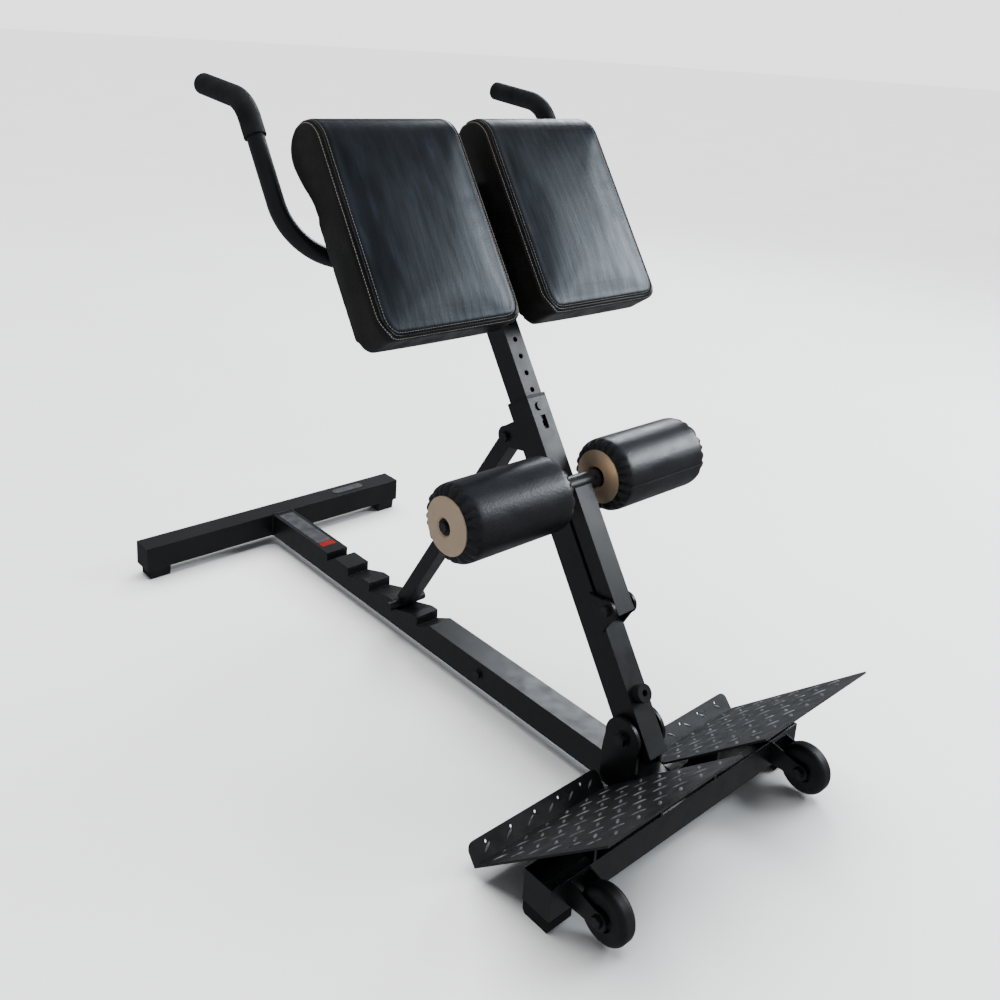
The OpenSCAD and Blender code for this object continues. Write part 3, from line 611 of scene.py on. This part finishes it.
def carve(obj, line, width, depth, swell):
    """Presses a groove along a line into the surface, with a slight swell on each side."""
    fine = resample(line, 0.0015)
    tree = KDTree(len(fine))
    for i, p in enumerate(fine):
        tree.insert(p, i)
    tree.balance()
    obj.data.update()
    moved = coords(obj)
    normals = [v.normal.copy() for v in obj.data.vertices]
    for v in obj.data.vertices:
        _, _, d = tree.find(v.co)
        if d > 4 * width:
            continue
        dip = -depth * math.exp(-(d / width) ** 2)
        rise = swell * math.exp(-((d - 2 * width) / width) ** 2)
        moved[v.index] += np.array(normals[v.index] * (dip + rise))
    set_coords(obj, moved)


def ripple(obj):
    """Fine creases that run up the cover and die out at the seams."""
    local = post_axes(coords(obj))
    obj.data.update()
    normals = np.array([v.normal[:] for v in obj.data.vertices])
    x, s = local[:, 0] * 1000, local[:, 2] * 1000
    wave = (np.sin(x * 0.41 + 1.3 * np.sin(s * 0.021)) + 0.7 * np.sin(x * 0.83 + s * 0.05 + 1.1)
            + 0.6 * np.sin(x * 0.23 - s * 0.033 + 2.0 * np.sin(s * 0.013)))
    front = np.clip((local[:, 1] - 0.05) / 0.03, 0, 1)
    set_coords(obj, coords(obj) + normals * (wave * 0.00003 * front)[:, None])


ripple(pad)
seam = lay(seam_path(SEAM_PHI), tree_of(pad), 0.0)
carve(pad, seam, width=0.0046, depth=0.0018, swell=0.0003)
pad_tree = tree_of(pad)
welt_line = resample(lay(seam_path(SEAM_PHI), pad_tree, 0.0003), 0.004)
welt = new_object("pad_welt_right", *sweep(welt_line, 0.0015), VINYL_SIDE)


def stitches(name, phi, radius, pitch=0.0046, gap=0.28):
    """A row of stitches beside the seam; gap is the share of the pitch left bare."""
    fine = resample(lay(seam_path(phi), pad_tree, radius * 0.35), pitch)
    pairs = [(a, a.lerp(b, 1 - gap)) for a, b in zip(fine, fine[1:])]
    return capsules(name, pairs, radius, THREAD)


front_row = stitches("pad_front_stitch_right", FRONT_ROW_PHI, 0.00042)
side_row = stitches("pad_side_stitch_right", SIDE_ROW_PHI, 0.00055)

# side panel, back and underside: the faces beyond the seam take the plainer grain
pad.data.materials.append(VINYL_SIDE)
for face in pad.data.polygons:
    px, pn, ps = post_axes(np.array([face.center[:]]))[0]
    edge = min(px - PAD_IN, PAD_OUT - px)
    if edge < 0.009 or (pn < PAD_BACK + 0.03 and ps < 0.96) or ps < PAD_LOW + 0.008:
        face.material_index = 1


def mirrored(obj, name):
    """A copy on the other side of the bench."""
    copy = obj.copy()
    copy.data = obj.data.copy()
    copy.name = name
    bpy.context.scene.collection.objects.link(copy)
    v = coords(copy)
    v[:, 0] *= -1
    set_coords(copy, v)
    copy.data.flip_normals()
    return copy


pad_left = mirrored(pad, "thigh_pad_left")
for obj, node in ((pad, "pad_right"), (pad_left, "pad_left")):
    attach(obj, "carriage")
    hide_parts(node)
for obj in (welt, front_row, side_row):
    twin = mirrored(obj, obj.name.replace("right", "left"))
    for o in (obj, twin):
        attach(o, "carriage")

# ---------------------------------------------------------------- ankle rollers
ROLL_IN, ROLL_OUT = 0.052, 0.256
BODY_R, MOUTH_R, CORE_R = 0.059, 0.046, 0.017
SHOULDER = 0.018
PLEATS = 22


def on_roller(x, r, angle):
    """A point at radius r round the roller's axis; angle 0 faces the front of the post."""
    return on_post(x, AXIS_N + r * math.cos(angle), AXIS_S + r * math.sin(angle))


def roller_profile():
    """(distance in from an end, radius) from the end's mouth to the full body."""
    out = [(0.0, CORE_R), (0.0, 0.030), (0.0, MOUTH_R - 0.004)]
    for i in range(1, 11):
        a = math.pi / 2 * i / 10
        out.append((SHOULDER * (1 - math.cos(a)), MOUTH_R + (BODY_R - MOUTH_R) * math.sin(a)))
    return out


def roller_shell():
    """The closed right-hand roller cover before it is filled."""
    half = roller_profile()
    middle = [(SHOULDER + (ROLL_OUT - ROLL_IN - 2 * SHOULDER) * i / 30, BODY_R)
              for i in range(1, 30)]
    length = ROLL_OUT - ROLL_IN
    rings = half + middle + [(length - e, r) for e, r in reversed(half)]
    sides = 88
    verts, faces = [], []
    for e, r in rings:
        for k in range(sides):
            verts.append(on_roller(ROLL_IN + e, r, 2 * math.pi * k / sides))
    for j in range(len(rings) - 1):
        for k in range(sides):
            m = (k + 1) % sides
            faces.append((j * sides + k, j * sides + m, (j + 1) * sides + m, (j + 1) * sides + k))
    faces.append(tuple(range(sides))[::-1])
    faces.append(tuple((len(rings) - 1) * sides + k for k in range(sides)))
    return new_object("roller_cover_right", verts, faces, VINYL_ROLL)


def roller_axes(points):
    """x, radius and angle round the roller's axis."""
    local = post_axes(points)
    n, s = local[:, 1] - AXIS_N, local[:, 2] - AXIS_S
    return local[:, 0], np.hypot(n, s), np.arctan2(s, n)


def roller_held(points):
    return roller_axes(points)[1] < MOUTH_R


def gather(obj):
    """Pleats where the cover is drawn in under the end discs."""
    obj.data.update()
    x, r, a = roller_axes(coords(obj))
    e = np.minimum(x - ROLL_IN, ROLL_OUT - x)
    near = np.clip(1 - e / (SHOULDER * 0.75), 0, 1) ** 0.7 * np.clip((r - 0.040) / 0.006, 0, 1)
    sway = a + 0.05 * np.sin(5 * a + 1.0) + 0.03 * np.sin(9 * a)
    fold = np.abs(np.sin(sway * PLEATS / 2)) ** 0.6
    normals = np.array([v.normal[:] for v in obj.data.vertices])
    push = 0.0065 * near * (fold - 1.0)
    set_coords(obj, coords(obj) + normals * push[:, None])


roller = roller_shell()
fix_normals(roller)
fill(roller, ROLLER_SWELL, roller_held)
gather(roller)
SEAM_ANGLE = math.radians(-35)
SEAM_END = 0.006
seam_line = [on_roller(ROLL_IN + SEAM_END + (ROLL_OUT - ROLL_IN - 2 * SEAM_END) * i / 80,
                       BODY_R, SEAM_ANGLE) for i in range(81)]
roller_tree = tree_of(roller)
seam_line = [roller_tree.find_nearest(p)[0] for p in seam_line]
carve(roller, seam_line, width=0.0018, depth=0.0022, swell=0.0006)


def spun(points, angle):
    """Points turned round the roller's axis."""
    x, n, s = post_axes(points).T
    n, s = n - AXIS_N, s - AXIS_S
    return from_post_axes(x, n * math.cos(angle) - s * math.sin(angle) + AXIS_N,
                          n * math.sin(angle) + s * math.cos(angle) + AXIS_S)


roller_left = mirrored(roller, "roller_cover_left")
set_coords(roller_left, spun(coords(roller_left), math.radians(160)))
for obj, side in ((roller, "right"), (roller_left, "left")):
    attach(obj, "roller_" + side)
    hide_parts("roller_" + side + "_pad")


# ---------------------------------------------------------------- raised tread pattern
def lens(origin, along, across, up, length, width, height, verts, faces):
    """One raised bar, pointed at both ends, standing on a plate."""
    base = len(verts)
    rows = 7
    section = ((-1, -0.05), (-0.55, 0.75), (0, 1), (0.55, 0.75), (1, -0.05))
    for i in range(rows):
        t = -1 + 2 * i / (rows - 1)
        w = width / 2 * (1 - t * t) ** 0.7
        h = height * (1 - t * t) ** 0.8
        for side, lift in section:
            verts.append(origin + along * (t * length / 2) + across * (side * w)
                         + up * (lift * h))
    for i in range(rows - 1):
        for k in range(4):
            a = base + i * 5 + k
            faces.append((a, a + 1, a + 6, a + 5))


PITCH = 0.042
BAR_LENGTH, BAR_WIDTH, BAR_HEIGHT = 0.023, 0.0058, 0.0013
TOE_LENGTH, TOE_WIDTH, TOE_HEIGHT = 0.017, 0.0042, 0.0010


def tread(sign, name):
    """The raised bars of one foot plate and of its toe flange; sign is 1 on the right."""
    verts, faces = [], []
    for i in range(-1, 8):
        for j in range(-1, 9):
            for half in (0, 1):
                x = 0.044 + (i + 0.5 * half) * PITCH
                d = 0.016 + (j + 0.5 * half) * PITCH
                low = 0.045 if d < 0.092 else 0.039
                if not (low < x < 0.284 and 0.011 < d < 0.286):
                    continue
                lean = 1 if half else -1
                along = (SIDE * sign + PLATE_UP * lean * sign).normalized()
                across = along.cross(PLATE_OFF)
                lens(on_plate(sign * x, d, 0.0), along, across, PLATE_OFF,
                     BAR_LENGTH, BAR_WIDTH, BAR_HEIGHT, verts, faces)
    for i in range(6):
        x = 0.056 + i * PITCH
        along = (SIDE * 0.80 - PLATE_OFF * 0.55 * sign).normalized()
        across = along.cross(PLATE_UP)
        lens(on_plate(sign * x, 0.0, 0.0135), along, across, PLATE_UP,
             TOE_LENGTH, TOE_WIDTH, TOE_HEIGHT, verts, faces)
    obj = new_object(name, verts, faces, STUD)
    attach(obj, "base")


tread(1, "tread_bars_right")
tread(-1, "tread_bars_left")


# ---------------------------------------------------------------- blank label on the beam
LABEL_THICK = 0.0004


def label(name, half, y0, y1, mat, r):
    """A blank sticker on top of the beam, with rounded corners."""
    x0, x1, z = -half, half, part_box("main_beam")[1][2]
    corners = ((x1 - r, y1 - r, 0), (x0 + r, y1 - r, 90),
               (x0 + r, y0 + r, 180), (x1 - r, y0 + r, 270))
    loop = []
    for cx, cy, a0 in corners:
        for i in range(5):
            a = math.radians(a0 + 22.5 * i)
            loop.append((cx + r * math.cos(a), cy + r * math.sin(a)))
    count = len(loop)
    verts = [Vector((x, y, h)) for h in (z, z + LABEL_THICK) for x, y in loop]
    faces = [tuple(range(count, 2 * count))]
    faces += [(i, (i + 1) % count, count + (i + 1) % count, count + i) for i in range(count)]
    obj = new_object(name, verts, faces, mat, smooth=False)
    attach(obj, "base")


label("beam_label", 0.017, 0.425, 0.585, LABEL, r=0.004)
label("beam_label_stripe", 0.017, 0.405, 0.4235, LABEL_RED, r=0.002)


# ---------------------------------------------------------------- weld beads
def bead(name, points, r=0.0024):
    """A rippled weld along a joint between two pieces of the base."""
    line = resample([Vector(p) for p in points], 0.0016)
    radii = [r * (1 + 0.16 * math.sin(2.6 * i)) for i in range(len(line))]
    verts, faces = sweep(line, radii, 8)
    obj = new_object(name, verts, faces, PAINT)
    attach(obj, "base")


HALF_BEAM, BEAM_LOW, BEAM_HIGH = 0.025, 0.022, 0.072
BEAM_FRONT, BEAM_REAR, EAR_EDGE = -0.505, 0.598, -0.478
for end, y in (("rear", BEAM_REAR), ("front", BEAM_FRONT)):
    bead("weld_" + end, [(-HALF_BEAM, y, BEAM_LOW), (-HALF_BEAM, y, BEAM_HIGH),
                         (HALF_BEAM, y, BEAM_HIGH), (HALF_BEAM, y, BEAM_LOW)])
for end, x in (("right", HALF_BEAM), ("left", -HALF_BEAM)):
    bead("weld_ear_" + end, [(x, EAR_EDGE, BEAM_LOW + 0.004), (x, EAR_EDGE, BEAM_HIGH)], 0.0018)

# ---------------------------------------------------------------- studio
floor_mat = material("floor", (0.80, 0.80, 0.80), 0.75, spec=0.2,
                     vary=(1.5, [(0.3, (0.79, 0.79, 0.79)), (0.7, (0.82, 0.82, 0.82))]),
                     bumps=[(250.0, 3.0, 0.05, 0.0004)])
FLOOR_HALF = 90
floor_corners = [(x * FLOOR_HALF, y * FLOOR_HALF, 0)
                 for x, y in ((-1, -1), (1, -1), (1, 1), (-1, 1))]
floor = new_object("floor", floor_corners, [(0, 1, 2, 3)], floor_mat)
floor.visible_glossy = False

# the world is white to the camera and a dim blue-white to everything else
world = bpy.data.worlds.new("studio")
bpy.context.scene.world = world
world.use_nodes = True
wt = world.node_tree
back = wt.nodes["Background"]
back.inputs["Color"].default_value = (0.90, 0.94, 1.0, 1)
back.inputs["Strength"].default_value = 0.28
seen = wt.nodes.new("ShaderNodeBackground")
seen.inputs["Color"].default_value = (1, 1, 1, 1)
seen.inputs["Strength"].default_value = 2.3
rays = wt.nodes.new("ShaderNodeLightPath")
mix = wt.nodes.new("ShaderNodeMixShader")
wt.links.new(rays.outputs["Is Camera Ray"], mix.inputs["Fac"])
wt.links.new(back.outputs["Background"], mix.inputs[1])
wt.links.new(seen.outputs["Background"], mix.inputs[2])
wt.links.new(mix.outputs["Shader"], wt.nodes["World Output"].inputs["Surface"])


def area(name, place, target, size, watts, color):
    """A rectangular light that faces the target."""
    data = bpy.data.lights.new(name, "AREA")
    data.shape = "RECTANGLE"
    data.size, data.size_y = size
    data.energy = watts
    data.color = color
    obj = bpy.data.objects.new(name, data)
    bpy.context.scene.collection.objects.link(obj)
    facing = (Vector(target) - Vector(place)).to_track_quat("-Z", "Y")
    obj.matrix_world = Matrix.Translation(place) @ facing.to_matrix().to_4x4()


sky = bpy.data.lights.new("sky", "SUN")
sky.energy = 8.0
sky.angle = math.radians(70)
sky_obj = bpy.data.objects.new("sky", sky)
sky_obj.rotation_euler = (math.radians(-14), math.radians(12), 0)
bpy.context.scene.collection.objects.link(sky_obj)
sky_obj.visible_glossy = False
COOL = (0.88, 0.94, 1.0)
area("back", (3.3, 2.2, 2.7), (0, -0.2, 0.1), (1.3, 1.3), 70, COOL)
area("front", (3.1, -1.6, 2.05), (0, -0.2, 0.6), (2.0, 1.3), 155, COOL)
